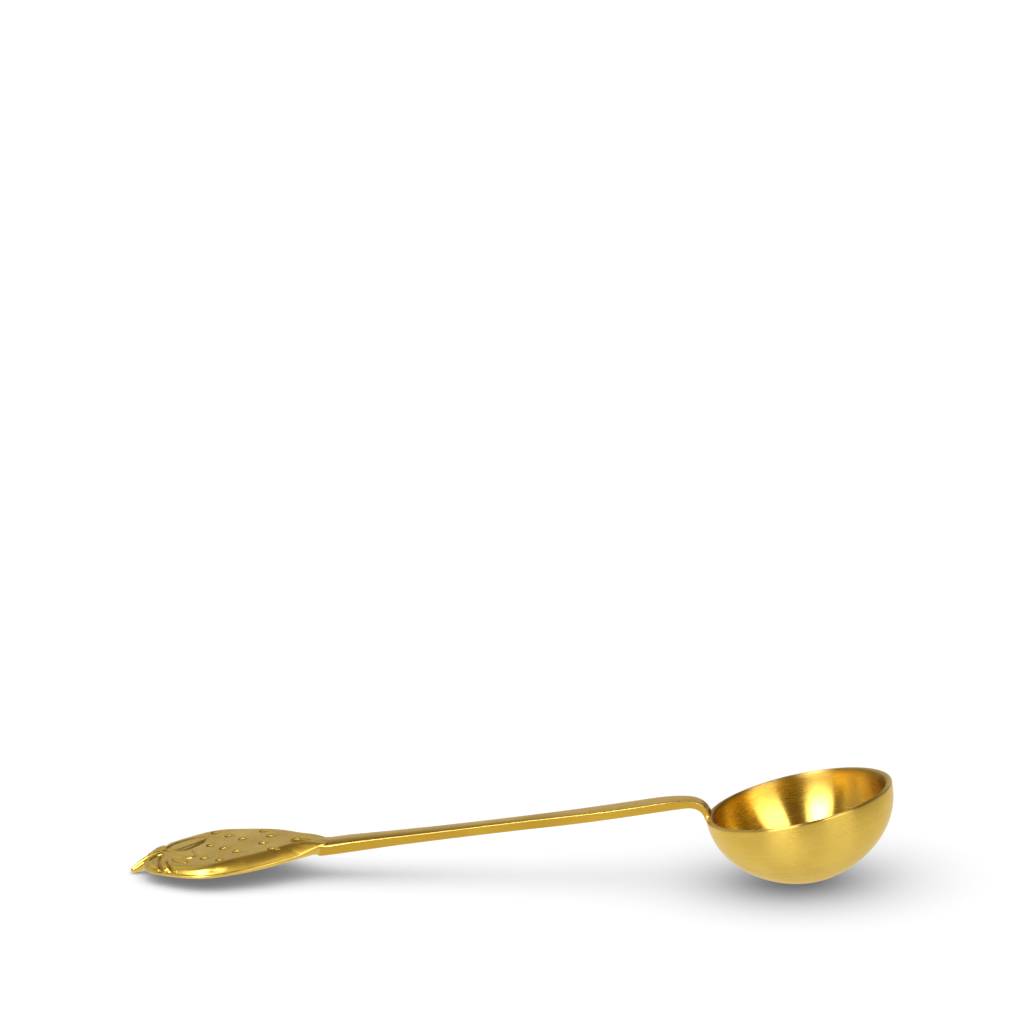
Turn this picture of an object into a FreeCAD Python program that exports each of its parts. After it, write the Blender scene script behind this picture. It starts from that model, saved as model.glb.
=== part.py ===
import FreeCAD, Part
import math
import os

# A brass bar measuring spoon: a deep round bowl, a flat strip handle that bends down onto the
# bowl's rim, and a pressed strawberry-shaped plate brazed on the strip's other end.
#
# Everything is drawn as it lies on a table: X runs along the spoon towards the bowl, Z is up
# and Z = 0 is the table. While the pieces are drawn X = 0 is the middle of the bowl's rim. At
# the end all of them are shifted together, so that the origin is the middle of the footprint.

Vector = FreeCAD.Vector

# ---- driving dimensions, millimetres and degrees ----

# bowl
BOWL_R = 21.75           # outside radius of the rim
BOWL_DEPTH = 19.35       # rim plane to the outside of the bottom
BOWL_WALL = 1.4          # sheet thickness
BOWL_TILT = 11.2         # how far the rim rises towards the bowl's free end
SIDE_POWER = 1.155       # the sides taper a little faster than a half ellipse
FLOOR_POWER = 0.936      # and the bottom is a little more pointed
PROFILE_STEPS = 8        # curve points from the rim to the bottom
RIM_ROUND = 0.35         # softened rim edges

# strip handle
STRIP_SLOPE = 7.6        # the straight part climbs towards the bowl
STRIP_TOP_X = -80.0      # a point on the strip's top face ...
STRIP_TOP_Z = 11.80      # ... and its height
STRIP_THICK = 2.2
STRAIGHT_END_X = -57.0   # from here to the bowl the strip is gently bowed
TONGUE_X = -121.0        # hidden end of the strip, under the plate
SHOULDER_X = -110.6      # the strip narrows to its tongue here
TONGUE_HALF = 2.2        # half width of the hidden tongue
NECK_HALF = 1.85         # half width where the strip meets the rim
# half width of the visible strip (x, half width)
STRIP_HALF = (
    (SHOULDER_X, 3.45), (-104.0, 3.2), (-98.0, 2.95), (-88.0, 2.7), (-60.0, 2.45), (-27.0, 2.5),
    (-22.0, 2.0), (-19.5, NECK_HALF),
)
STRIP_EDGE_ROUND = 0.3
LONG_EDGE = 20.0         # edges longer than this along the strip are softened

# gooseneck, upper and lower side outlines from the straight part to the rim (x, z)
NECK_TOP = ((-36.3, 17.95), (-26.8, 19.15), (-22.6, 18.5), (-20.9, 17.0), (-20.2, 15.2))
NECK_UNDER = ((-36.1, 15.95), (-27.0, 17.3), (-23.5, 17.15), (-22.1, 16.1), (-21.5, 14.6))
NECK_END = (0.1, 0, -1)  # direction in which it arrives at the rim

# strawberry plate
PLATE_SHEET = 1.4
LIP_DROP = 2.6           # the rolled-down edge hangs this far below the flat top at LIP_X
LIP_X = -135.0
LIP_RATE = 0.032         # and hangs deeper towards the handle
ROLL = 3.2               # how far the rolled edge reaches into the flat top,
ROLL_SHARE = 0.5         # but no more than this share of the way to the core line
ROLL_STEPS = 4
CORE_X = (-143.0, -115.0)  # the rolled edge shrinks towards this stretch of the centre line
CAVITY_EXTRA = 0.3       # the cavity's cutter reaches this far below the lip
# outline of the fruit on each side of the centre line, from the stalk end to the narrow end (x, y)
STALK_END = (-151.2, 0.0)
FAR_SIDE = (
    (-150.6, 4.0), (-149.6, 7.5), (-146.0, 12.0), (-141.0, 15.4), (-135.5, 17.2), (-130.0, 16.2),
    (-124.0, 13.8), (-118.0, 10.1), (-113.5, 6.2), (-110.6, 4.1), (-108.8, 2.8),
)
NARROW_END = (-108.2, 0.0)
NEAR_SIDE = (
    (-150.7, -3.8), (-149.8, -6.8), (-146.2, -10.6), (-141.0, -13.5), (-135.5, -15.0),
    (-130.0, -14.0), (-124.0, -11.8), (-118.0, -8.4), (-113.5, -5.4), (-110.6, -3.9), (-108.8, -2.7),
)
# stalk: centre line and radius (x, z, r); its tip rests on the table
STALK = ((-146.5, 2.9, 1.6), (-149.0, 2.6, 1.6), (-151.3, 1.75, 1.35), (-153.3, 0.8, 0.8))

# seed pits, in slanting rows (first pit x, y, count, step x, step y)
SEED_ROWS = (
    (-136.1, 12.6, 3, 3.7, -3.7),
    (-136.0, 3.1, 3, 3.7, -3.7),
    (-136.0, -6.6, 2, 3.8, -3.4),
    (-124.4, 9.4, 2, 2.1, -4.7),
    (-123.4, 0.0, 2, 2.4, -5.6),
    (-115.7, -0.6, 1, 0.0, 0.0),
)
SEED_R = 1.0             # round end of a pit
SEED_POINT = 1.9         # from the round end's centre to the point
SEED_DEPTH = 0.5
SEED_TIP = 0.05          # blunt end of the point

# grooves that outline the leaves of the calyx: three points of each arc (x, y)
LEAF_GROOVES = (
    ((-145.4, 1.5), (-140.4, 2.9), (-138.0, 9.4)),
    ((-146.0, 5.2), (-144.6, 8.6), (-141.8, 11.8)),
    ((-139.9, 0.2), (-139.2, -2.2), (-138.4, -4.4)),
    ((-144.2, -2.9), (-141.6, -5.0), (-139.3, -5.1)),
    ((-143.9, -5.4), (-141.8, -8.1), (-139.8, -9.2)),
    ((-145.2, -6.5), (-144.2, -8.9), (-143.7, -10.9)),
    ((-146.9, -1.8), (-147.1, -5.0), (-146.0, -9.4)),
)
GROOVE_R = 0.36

# braze metal
NECK_BEAD = (-20.95, 15.15, 0.75)  # bead along the joint of neck and rim (x, z, radius)
BRAZE_LEG = 0.9          # legs of the fillet round the tongue, under the plate
BRAZE_TOE = 0.09         # thickness of the fillet's thin lower edge

# construction
REACH = 2 * BOWL_R       # further than any piece reaches sideways or up
TOLERANCE = 0.01


# ---- shared helpers ----

def spline(points, start=None, end=None):
    """An open smooth curve through points, with optional end directions."""
    curve = Part.BSplineCurve()
    if start is None:
        curve.interpolate(points)
    else:
        curve.interpolate(Points=points, InitialTangent=start, FinalTangent=end)
    return curve.toShape()


def closed_spline(points):
    """A closed smooth curve through points."""
    curve = Part.BSplineCurve()
    curve.interpolate(Points=points, PeriodicFlag=True)
    return Part.Wire([curve.toShape()])


def straight(first, second):
    return Part.LineSegment(first, second).toShape()


def strip_top(x):
    """Height of the straight part of the strip's top face."""
    return STRIP_TOP_Z + math.tan(math.radians(STRIP_SLOPE)) * (x - STRIP_TOP_X)


def plate_top(x):
    """Height of the plate's flat top, one sheet above the strip."""
    return strip_top(x) + PLATE_SHEET


# ---- bowl ----

def bowl_curve(radius, depth):
    """Half profile of the bowl, from the rim down to its axis, in the X-Z plane."""
    points = []
    for step in range(PROFILE_STEPS + 1):
        turn = math.pi / 2 * step / PROFILE_STEPS
        across = radius * max(math.cos(turn), 0.0) ** SIDE_POWER
        down = depth * math.sin(turn) ** FLOOR_POWER
        points.append(Vector(across, 0, -down))
    points[-1].x = 0.0
    return spline(points, Vector(0, 0, -1), Vector(-1, 0, 0))


def make_bowl():
    """Revolved cup with softened rim, tilted, and set down so that its bottom is at Z = 0."""
    outside = bowl_curve(BOWL_R, BOWL_DEPTH)
    inside = bowl_curve(BOWL_R - BOWL_WALL, BOWL_DEPTH - BOWL_WALL)
    rim_line = straight(Vector(BOWL_R - BOWL_WALL, 0, 0), Vector(BOWL_R, 0, 0))
    axis_line = straight(Vector(0, 0, -BOWL_DEPTH), Vector(0, 0, BOWL_WALL - BOWL_DEPTH))
    wire = Part.Wire(Part.__sortEdges__([rim_line, outside, axis_line, inside]))
    cup = Part.Face(wire).revolve(Vector(0, 0, 0), Vector(0, 0, 1), 360)
    rim_edges = [edge for edge in cup.Edges if is_rim_edge(edge)]
    cup = cup.makeFillet(RIM_ROUND, rim_edges)
    cup.rotate(Vector(0, 0, 0), Vector(0, 1, 0), -BOWL_TILT)
    cup.translate(Vector(0, 0, -cup.optimalBoundingBox(False).ZMin))
    return cup


def is_rim_edge(edge):
    """The two full circles that bound the flat top of the rim."""
    box = edge.BoundBox
    return box.ZLength < TOLERANCE and abs(box.ZMax) < TOLERANCE and box.XLength > BOWL_R


# ---- handle ----

def handle_side():
    """Side outline of the strip, in the X-Z plane."""
    climb = Vector(1, 0, math.tan(math.radians(STRIP_SLOPE)))
    top_points = [Vector(STRAIGHT_END_X, 0, strip_top(STRAIGHT_END_X))]
    top_points += [Vector(x, 0, z) for x, z in NECK_TOP]
    under_points = [Vector(STRAIGHT_END_X, 0, strip_top(STRAIGHT_END_X) - STRIP_THICK)]
    under_points += [Vector(x, 0, z) for x, z in NECK_UNDER]
    tongue_top = Vector(TONGUE_X, 0, strip_top(TONGUE_X))
    tongue_under = tongue_top - Vector(0, 0, STRIP_THICK)
    edges = [
        straight(tongue_top, top_points[0]),
        spline(top_points, climb, Vector(*NECK_END)),
        straight(top_points[-1], under_points[-1]),
        spline(under_points, climb, Vector(*NECK_END)),
        straight(under_points[0], tongue_under),
        straight(tongue_under, tongue_top),
    ]
    return Part.Face(Part.Wire(Part.__sortEdges__(edges)))


def handle_plan():
    """Plan outline of the strip, in the X-Y plane."""
    far = [Vector(x, y, 0) for x, y in STRIP_HALF]
    near = [Vector(x, -y, 0) for x, y in STRIP_HALF]
    shoulder_far = Vector(SHOULDER_X, TONGUE_HALF, 0)
    shoulder_near = Vector(SHOULDER_X, -TONGUE_HALF, 0)
    tongue_far = Vector(TONGUE_X, TONGUE_HALF, 0)
    tongue_near = Vector(TONGUE_X, -TONGUE_HALF, 0)
    edges = [
        spline(far),
        straight(far[-1], near[-1]),
        spline(near),
        straight(near[0], shoulder_near),
        straight(shoulder_near, tongue_near),
        straight(tongue_near, tongue_far),
        straight(tongue_far, shoulder_far),
        straight(shoulder_far, far[0]),
    ]
    return Part.Face(Part.Wire(Part.__sortEdges__(edges)))


def make_handle(bowl):
    """The strip is the part common to its side outline and its plan outline."""
    side = handle_side()
    side.translate(Vector(0, -REACH / 2, 0))
    side = side.extrude(Vector(0, REACH, 0))
    plan = handle_plan().extrude(Vector(0, 0, REACH))
    strip = side.common(plan).Solids[0]
    strip = strip.makeFillet(STRIP_EDGE_ROUND, [e for e in strip.Edges if is_long_edge(e)])
    return strip.cut(bowl).Solids[0]


def is_long_edge(edge):
    """Edges that run along the visible part of the strip."""
    return edge.BoundBox.XLength > LONG_EDGE and edge.BoundBox.XMax > SHOULDER_X


# ---- strawberry plate ----

def lip_drop(x):
    """How far the rolled edge hangs below the flat top."""
    return LIP_DROP + LIP_RATE * (x - LIP_X)


def core_point(x):
    """The point of the centre line that the rolled edge shrinks towards."""
    return Vector(min(max(x, CORE_X[0]), CORE_X[1]), 0, 0)


def fruit_points(inset):
    """The fruit's closed outline, moved in towards the core line."""
    corners = (STALK_END, *FAR_SIDE, NARROW_END, *reversed(NEAR_SIDE))
    moved = []
    for point in [Vector(x, y, 0) for x, y in corners]:
        inward = core_point(point.x) - point
        moved.append(point + inward * (min(inset, ROLL_SHARE * inward.Length) / inward.Length))
    return moved


def rolled_rings(edge_inset, top_offset, lip_offset):
    """Rings of a skin that is flat on top and rolls down to its lip like a quarter ellipse."""
    flat = fruit_points(ROLL)
    edge = fruit_points(edge_inset)
    rings = []
    for step in range(ROLL_STEPS + 1):
        turn = math.pi / 2 * step / ROLL_STEPS
        ring = []
        for inner, outer in zip(flat, edge):
            point = inner + (outer - inner) * math.sin(turn)
            fall = (lip_drop(outer.x) + lip_offset) * (1 - math.cos(turn))
            height = plate_top(point.x) - top_offset - fall
            ring.append(Vector(point.x, point.y, height))
        rings.append(closed_spline(ring))
    return rings


def skin_point(skin, x, y):
    """The point of the plate's upper skin above (x, y)."""
    plumb = straight(Vector(x, y, 0), Vector(x, y, REACH))
    return Vector(x, y, skin.common(plumb).BoundBox.ZMax)


def make_stalk():
    """Tapered stalk that curls down to the table."""
    rings = []
    for index, (x, z, radius) in enumerate(STALK):
        before = STALK[max(index - 1, 0)]
        after = STALK[min(index + 1, len(STALK) - 1)]
        along = Vector(after[0] - before[0], 0, after[1] - before[1])
        rings.append(Part.Wire([Part.Circle(Vector(x, 0, z), along, radius).toShape()]))
    tip_x, tip_z, tip_r = STALK[-1]
    body = Part.makeLoft(rings, True)
    return body.fuse(Part.makeSphere(tip_r, Vector(tip_x, 0, tip_z)))


def seed_places():
    """Centres of the seed pits on the flat top."""
    places = []
    for x, y, count, step_x, step_y in SEED_ROWS:
        for index in range(count):
            places.append((x + step_x * index, y + step_y * index))
    return places


def seed_cutter(x, y):
    """A shallow teardrop: a ball cap with a cone that tapers towards the handle."""
    ball_r = (SEED_R ** 2 + SEED_DEPTH ** 2) / (2 * SEED_DEPTH)
    height = plate_top(x) + ball_r - SEED_DEPTH
    slope = math.radians(STRIP_SLOPE)
    along = Vector(math.cos(slope), 0, math.sin(slope))
    ball = Part.makeSphere(ball_r, Vector(x, y, height))
    start = Vector(x, y, plate_top(x))
    cone = Part.makeCone(SEED_DEPTH, SEED_TIP, SEED_POINT, start, along)
    return ball, cone


def leaf_groove(skin, places):
    """A round-bottomed groove along an arc on the plate's upper skin."""
    route = [skin_point(skin, x, y) for x, y in places]
    path = Part.Arc(*route).toShape()
    ring = Part.Circle(route[0], path.tangentAt(path.FirstParameter), GROOVE_R).toShape()
    return Part.Wire([path]).makePipe(Part.Face(Part.Wire([ring])))


def make_plate(strip):
    """Pressed shell with stalk, seed pits and leaf grooves, seated on the strip's tongue."""
    skin = Part.makeLoft(rolled_rings(0.0, 0.0, 0.0), True)
    cavity = Part.makeLoft(rolled_rings(PLATE_SHEET, PLATE_SHEET, CAVITY_EXTRA - PLATE_SHEET), True)
    plate = skin.cut(cavity).fuse(make_stalk())
    cutters = []
    for x, y in seed_places():
        cutters += seed_cutter(x, y)
    for places in LEAF_GROOVES:
        cutters.append(leaf_groove(skin, places))
    for cutter in cutters:
        plate = plate.cut(cutter)
    plate = plate.cut(strip)
    return max(plate.Solids, key=lambda solid: solid.Volume)


# ---- braze metal ----

def make_neck_braze(bowl, handle):
    """A round-ended bead along the strip's end, which fills the corners to the rim."""
    x, z, radius = NECK_BEAD
    start = Vector(x, -NECK_HALF, z)
    bead = Part.makeCylinder(radius, 2 * NECK_HALF, start, Vector(0, 1, 0))
    for end in (start, start + Vector(0, 2 * NECK_HALF, 0)):
        bead = bead.fuse(Part.makeSphere(radius, end))
    bead = bead.cut(bowl).cut(handle)
    return max(bead.Solids, key=lambda solid: solid.Volume)


def tongue_outline(margin, drop):
    """A rectangle round the tongue, a drop below the underside of the plate's sheet."""
    x_ends = (TONGUE_X - margin, SHOULDER_X - BRAZE_LEG)
    y_ends = (-TONGUE_HALF - margin, TONGUE_HALF + margin)
    corners = [(x_ends[0], y_ends[0]), (x_ends[1], y_ends[0]), (x_ends[1], y_ends[1]),
               (x_ends[0], y_ends[1]), (x_ends[0], y_ends[0])]
    return Part.makePolygon([Vector(x, y, strip_top(x) - drop) for x, y in corners])


def make_plate_braze(handle, plate):
    """A fillet along both sides and the end of the tongue, in the corner under the plate."""
    wide = tongue_outline(BRAZE_LEG, 0.0)
    narrow = tongue_outline(BRAZE_TOE, BRAZE_LEG)
    fillet = Part.makeLoft([wide, narrow], True, True).cut(handle).cut(plate)
    return max(fillet.Solids, key=lambda solid: solid.Volume)


def main():
    bowl = make_bowl()
    handle = make_handle(bowl)
    plate = make_plate(handle)
    pieces = {
        "bowl": bowl,
        "handle": handle,
        "strawberry_plate": plate,
        "neck_braze": make_neck_braze(bowl, handle),
        "plate_braze": make_plate_braze(handle, plate),
    }
    box = Part.makeCompound(list(pieces.values())).optimalBoundingBox(False)
    os.makedirs("parts", exist_ok=True)
    for name, shape in pieces.items():
        shape.translate(Vector(-(box.XMin + box.XMax) / 2, 0, 0))
        shape.exportStep("parts/" + name + ".step")
        size = shape.optimalBoundingBox(False)
        print(name, shape.ShapeType, "solids", len(shape.Solids), "valid", shape.isValid(),
              "volume", round(shape.Volume, 1))
        print("   x %.2f..%.2f  y %.2f..%.2f  z %.2f..%.2f" % (size.XMin, size.XMax, size.YMin,
                                                            size.YMax, size.ZMin, size.ZMax))
    print("shift in x", round(-(box.XMin + box.XMax) / 2, 3), "length", round(box.XLength, 2))


main()
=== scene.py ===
import math

import bpy
import numpy as np
from mathutils import Matrix, Vector

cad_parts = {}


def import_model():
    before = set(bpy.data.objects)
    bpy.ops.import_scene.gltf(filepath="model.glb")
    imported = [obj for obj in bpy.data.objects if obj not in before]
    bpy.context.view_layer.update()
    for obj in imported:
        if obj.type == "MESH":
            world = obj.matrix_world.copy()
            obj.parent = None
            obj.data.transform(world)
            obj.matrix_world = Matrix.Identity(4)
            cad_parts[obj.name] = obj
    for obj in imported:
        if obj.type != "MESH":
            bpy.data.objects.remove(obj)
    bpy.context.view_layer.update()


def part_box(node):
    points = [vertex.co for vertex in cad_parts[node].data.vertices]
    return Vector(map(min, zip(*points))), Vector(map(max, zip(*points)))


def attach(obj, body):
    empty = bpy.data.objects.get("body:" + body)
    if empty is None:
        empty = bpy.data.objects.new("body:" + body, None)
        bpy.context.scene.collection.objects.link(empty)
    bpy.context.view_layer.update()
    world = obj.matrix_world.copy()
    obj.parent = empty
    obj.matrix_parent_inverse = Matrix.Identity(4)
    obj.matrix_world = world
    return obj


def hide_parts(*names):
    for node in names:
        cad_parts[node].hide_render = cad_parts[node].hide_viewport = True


# The looks of a brass bar measuring spoon: bowl, strip handle, pressed strawberry plate with its
# stalk, and the two brazed joints. The pieces are drawn in millimetres, with X = 0 in the middle
# of the bowl's rim and Z = 0 on the table. They are then shifted to where the frame has the bowl.

MM = 0.001

# ---- bowl ----
BOWL_R = 21.75
BOWL_DEPTH = 19.35
BOWL_WALL = 1.4
BOWL_TILT = math.radians(11.2)   # the bowl's free end is higher than the handle's
SIDE_POWER = 1.155               # shape of the profile: with 1 and 1 it is a half ellipse
FLOOR_POWER = 0.936
PROFILE_SPANS = 8
PROFILE_STEPS = 12               # samples in each span of the profile
RIM_ROUND = 0.2
RIM_STEPS = 7
RIM_CLEAR = 1.3                  # the profiles stop this many roundings below the rim
RIM_BAND = 0.9                   # half width of the band of painted shade along the rim
BOWL_SIDES = 256

# ---- strip handle ----
STRIP_SLOPE = math.tan(math.radians(7.6))
STRIP_TOP = (-80.0, 11.80)       # a point on the straight part's top face (x, z)
STRIP_THICK = 2.2
STRAIGHT_END = -57.0
TONGUE_END = -121.0
SHOULDER = -110.6                # the strip narrows to its tongue here
SHOULDER_LENGTH = 1.2
TONGUE_HALF = 2.2
# half width along the strip (x, mm)
STRIP_HALF = (
    (-110.0, 3.65), (-104.0, 3.45), (-98.0, 3.1), (-88.0, 2.75), (-60.0, 2.45), (-27.0, 2.5),
    (-22.0, 2.0), (-19.5, 1.85),
)
# rounding of the top and of the under corners, and bulge of the top face (x, mm)
TOP_ROUND = ((-112.0, 0.6), (-104.0, 0.4), (-90.0, 0.2), (-45.0, 0.15), (-19.0, 0.15))
UNDER_ROUND = ((-112.0, 0.6), (-106.0, 0.35), (-19.0, 0.2))
CROWN = ((-112.0, 0.3), (-90.0, 0.2), (-60.0, 0.1), (-30.0, 0.03), (-19.0, 0.02))
ROUND_LIMITS = (0.6, 0.35)       # largest top and under rounding, as shares of the thickness
# the strip swells up and down towards the plate (x, up, down)
SWELL = (
    (-112.0, 0.05, 0.28), (-108.0, 0.2, 0.28), (-104.0, 0.28, 0.22), (-92.0, 0.1, 0.05), (-84.0, 0.0, 0.0),
    (-19.0, 0.0, 0.0),
)
# the gooseneck's top and under lines (x, z)
NECK_TOP = ((-36.3, 17.95), (-26.8, 19.15), (-22.6, 18.5), (-20.9, 17.0), (-20.2, 15.2))
NECK_UNDER = ((-36.1, 15.95), (-27.0, 17.3), (-23.5, 17.15), (-22.1, 16.1), (-21.5, 14.6))
NECK_END = (0.1, -1.0)           # direction in which the gooseneck arrives at the rim
NECK_STEPS = 14
STATION = 0.8                    # spacing of the straight part's sections
SHOULDER_STATIONS = 6            # it is this many times finer at the shoulder
STATION_DIGITS = 3               # sections that agree to this many decimals are one
FACE_STEPS = 8                   # spans across the faces, round the corners and down the sides
CORNER_STEPS = 7
SIDE_STEPS = 4
WORN_HIGHLIGHT_POINTS = 4                  # points of each corner where the strip is worn, its colour paler as wear and as a painted highlight
WIDTH_STEPS = 16                 # samples in each span of the strip's width

# ---- strawberry plate ----
PLATE_SHEET = 1.4
PLATE_MIDDLE = -131.0
# the edge hangs deepest at this x, by this much, and rises with the square of the distance from it
LIP_DROP = (-118.0, 3.28, 0.0016)
LIP_ROUND = 0.4                  # rounding of the lip's outer and inner corner
LIP_INNER_ROUND = 0.25
# The edge is rounded at the stalk end and along the far side. The rest of the near side is a
# gentle dome with a sheet edge below it.
# rounded edge: inset and share of the fall, from the flat top to the lip
ROLL = 4.2
ROLL_SECTION = ((ROLL, 0.0), (3.1, 0.03), (2.1, 0.12), (1.3, 0.3), (0.8, 0.53), (0.35, 0.82), (0.0, 1.0))
ROLL_SHARE = 0.85                # share of the rounded edge's points that is above the lip
DOME = 5.0                       # width of the gentle dome
DOME_FALL = 2.25                 # and how far it falls
DOME_CORNER = 0.25               # rounding between dome and lip
CORNER_SPEED = 3.0               # that rounding is over a third of the way down the lip
DOME_FROM = (-135.5, -128.0)     # the edge changes from rounded to domed between these x
DOME_FULL = 6.0                  # half width of the fruit from which the dome falls that far
DOME_LEAST = 0.3                 # share of the fall that is left at the narrow end
DOME_WIDEST = 9.0                # limit to its width where the outline slants
NEAR_BLEND = 0.3                 # near and far side blend over this sine of the direction
PLATE_RAYS = 600                 # points in each ring round the plate
OUTLINE_STEPS = 120              # samples in each span of the outline
OUTLINE_OVERLAP = 4              # points repeated past both ends, so that it closes smoothly
WIDTH_AVERAGE = 17               # rays over which the dome's width is evened out
# rings on the flat top, the edge's slope, its lip, each corner of the lip and the underside
FLAT_ROWS = 84
ROLL_ROWS = 30
LIP_ROWS = 10
CORNER_ROWS = 5
UNDER_ROWS = 16
LIP_WEAR_HIGHLIGHT_ROWS = 4.0              # rings over which the lip's wear and painted highlight fade
RAMP = (-115.0, -107.2, 1.25)    # slope of the narrow end: first x, last x, height above the strip
RAMP_BLEND = 0.12                # rounding where the slope meets the edge
RAMP_GAP = 0.06                  # the strip stays this far below the plate's slope
# outline of the fruit, from the stalk end along the far side to the narrow end and back (x, y)
FRUIT = (
    (-151.2, 0.0), (-150.9, 3.5), (-150.1, 6.4), (-148.4, 9.1), (-146.0, 11.6), (-143.0, 13.9),
    (-139.5, 16.1), (-135.3, 17.2), (-130.0, 16.2), (-124.0, 14.1), (-118.0, 10.5), (-113.5, 6.3),
    (-110.6, 4.1), (-108.8, 2.8), (-108.2, 0.0), (-108.8, -2.7), (-110.6, -3.9), (-113.5, -5.4),
    (-118.0, -8.4), (-124.0, -11.8), (-130.0, -14.0), (-135.5, -15.0), (-141.0, -13.5),
    (-146.2, -10.6), (-149.8, -6.8), (-150.7, -3.8),
)
# leaf tips that stand out of the outline and the notch between two of them (direction in
# degrees, half width in degrees, mm)
LOBES = ((163.0, 5.0, 0.3), (153.0, 3.2, -0.9), (206.0, 9.0, 0.3))
LOBE_SHARPNESS = 1.5             # how quickly they fade past that half width

# seed pits, in slanting rows (first pit x, y, count, step x, step y)
SEED_ROWS = (
    (-136.1, 12.7, 3, 3.6, -3.75),
    (-136.1, 3.0, 3, 3.5, -3.7),
    (-136.3, -6.8, 2, 3.8, -2.9),
    (-124.5, 9.7, 2, 2.2, -4.7),
    (-123.6, 0.0, 2, 2.6, -5.6),
)
LAST_SEED = (-115.7, -0.6)       # a larger one, alone at the narrow end
LAST_SEED_SIZE = 1.25
SEED_R = 1.1                     # a seed is a teardrop: its round end, and how far off its point is
SEED_POINT = 2.15
SEED_DEPTH = 0.42
SEED_WALL = 0.6                  # width of its sloping wall
SEED_START = 0.15                # share of the wall that is outside the seed's edge
SEED_LIP = (0.07, 0.25, 0.18)    # metal pushed up round a pit: height, distance and width

# grooves round the leaves (depth, half width, points x, y)
LEAF_GROOVES = (
    (0.40, 0.60, ((-146.2, 2.7), (-144.5, 1.7), (-142.6, 1.4), (-141.2, 2.1), (-139.8, 3.8),
                  (-138.4, 6.3), (-137.7, 9.4))),
    (0.35, 0.50, ((-146.6, 4.1), (-146.2, 5.4), (-144.6, 7.8), (-142.0, 9.7), (-139.7, 10.2),
                  (-137.7, 9.9))),
    (0.28, 0.40, ((-139.9, 0.3), (-139.1, -2.4), (-138.2, -4.9))),
    (0.35, 0.50, ((-144.2, -2.9), (-141.7, -4.9), (-138.6, -5.3))),
    (0.35, 0.50, ((-143.9, -5.4), (-141.8, -8.1), (-139.5, -9.4))),
    (0.42, 0.55, ((-145.2, -6.5), (-144.2, -8.9), (-143.5, -11.8))),
    (0.45, 0.60, ((-146.9, -1.0), (-147.2, -4.0), (-146.9, -7.2), (-145.8, -10.8))),
    (0.40, 0.55, ((-146.6, 2.6), (-147.2, 1.2), (-148.4, -0.9), (-149.8, -3.2))),
)
# raised leaves (height, half width, first x, y, last x, y)
LEAF_EDGE = 0.4                  # share of the half width that slopes
LEAF_DOMES = (
    (0.15, 2.1, (-144.3, 3.9), (-140.0, 7.9)),
    (0.15, 1.4, (-144.0, -1.2), (-140.0, -4.0)),
    (0.18, 1.2, (-144.6, -4.4), (-141.2, -7.8)),
    (0.15, 1.1, (-146.1, -5.0), (-144.9, -9.8)),
    (0.15, 1.4, (-147.4, 3.8), (-148.6, 8.4)),
)
GROOVE_STEPS = 12
GROOVE_TAPER = 5.0               # a groove reaches its depth within a fifth of its length
GROOVE_END = 0.25                # how far along that rise it begins
GROOVE_POWER = 1.1               # 1 is a plain V, more is a narrower bottom

# stalk: centre line and radius (x, y, z, r); its tip rests on the table
STALK = (
    (-145.4, 2.3, 3.1, 0.8), (-147.2, 1.7, 3.3, 1.2), (-149.3, 0.9, 2.75, 1.35),
    (-151.5, -0.2, 1.75, 1.15), (-153.3, -1.1, 0.78, 0.78),
)
STALK_STEPS = 10
STALK_SIDES = 40
STALK_CREASE = (0.22, 0.25, math.radians(112.0))  # depth share, half width and place of its crease
TIP_ROWS = 7
TUBE_CAP = 0.01                  # how far a tube's closing point stands out

# ---- braze metal ----
NECK_BEAD = (-20.95, 15.25, 0.62, 2.1)  # x, z, radius and half length
NECK_BEAD_POINTS = 25
TONGUE_BEAD_R = 0.75
TONGUE_BEAD_GAP = 0.1            # its centre line is this far outside the tongue
TONGUE_BEAD_SINK = 0.25          # and this far below the strip's top face
TONGUE_BEAD_CORNER = 1.2
TONGUE_BEAD_POINTS = 20          # along each side
CORNER_POINTS = 8                # round each corner
BEAD_SIDES = 20

# ---- materials (colours are linear) ----
BRASS = ((0.74, 0.512, 0.10), (0.60, 0.385, 0.057))  # usual and darker tone
# the strip's brass is darker than the bowl's: painted shade, for the less light that the strip mirrors
STRIP_SHADED_BRASS = ((0.62, 0.39, 0.05), (0.50, 0.29, 0.03))
BRAZE = ((0.66, 0.46, 0.12), (0.54, 0.35, 0.07))
EDGE_TINT = (0.98, 0.94, 0.78)   # brass keeps its colour at grazing angles
# darker colour along the bowl's rim: painted shade
RIM_SHADE_COLOUR = (0.52, 0.36, 0.11)
# paler colour of worn edges, partly real wear and partly a painted highlight on corners, lip and bead
WORN_HIGHLIGHT_COLOUR = (0.80, 0.60, 0.24)
# darker colour in the seed pits and leaf grooves: painted shade
RECESS_SHADE_COLOUR = (0.30, 0.15, 0.025)
RIM_SHADE_SHARE = 0.9                  # how far the painted shade along the rim and in the pits and grooves replaces the brass's colour
RECESS_SHADE_SHARE = 0.75
RIM_ROUGHER = 0.2                # what the rim, the pits and grooves and the worn, highlighted edges add to the roughness
RECESS_ROUGHER = 0.1
WORN_ROUGHER = 0.22
WORN_HIGHLIGHT_SPAN = (0.35, 0.9)          # wear and painted highlight are patchy, between these shares
CLOUD_TONE = 0.6                 # share of the darker tone in clouds and in the brushing
LINE_TONE = 0.14
NOISE_SPAN = (0.3, 0.7)          # nearly all noise values are between these
CLOUD_SCALE = (0.09, 0.09, 0.09)  # noise features per millimetre, along each axis
FINE_SCALE = (2.5, 2.5, 2.5)
LONG_SCALE = (0.05, 3.0, 3.0)    # brushed along the strip
PRESSED_SCALE = (1.2, 0.5, 0.5)
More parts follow.
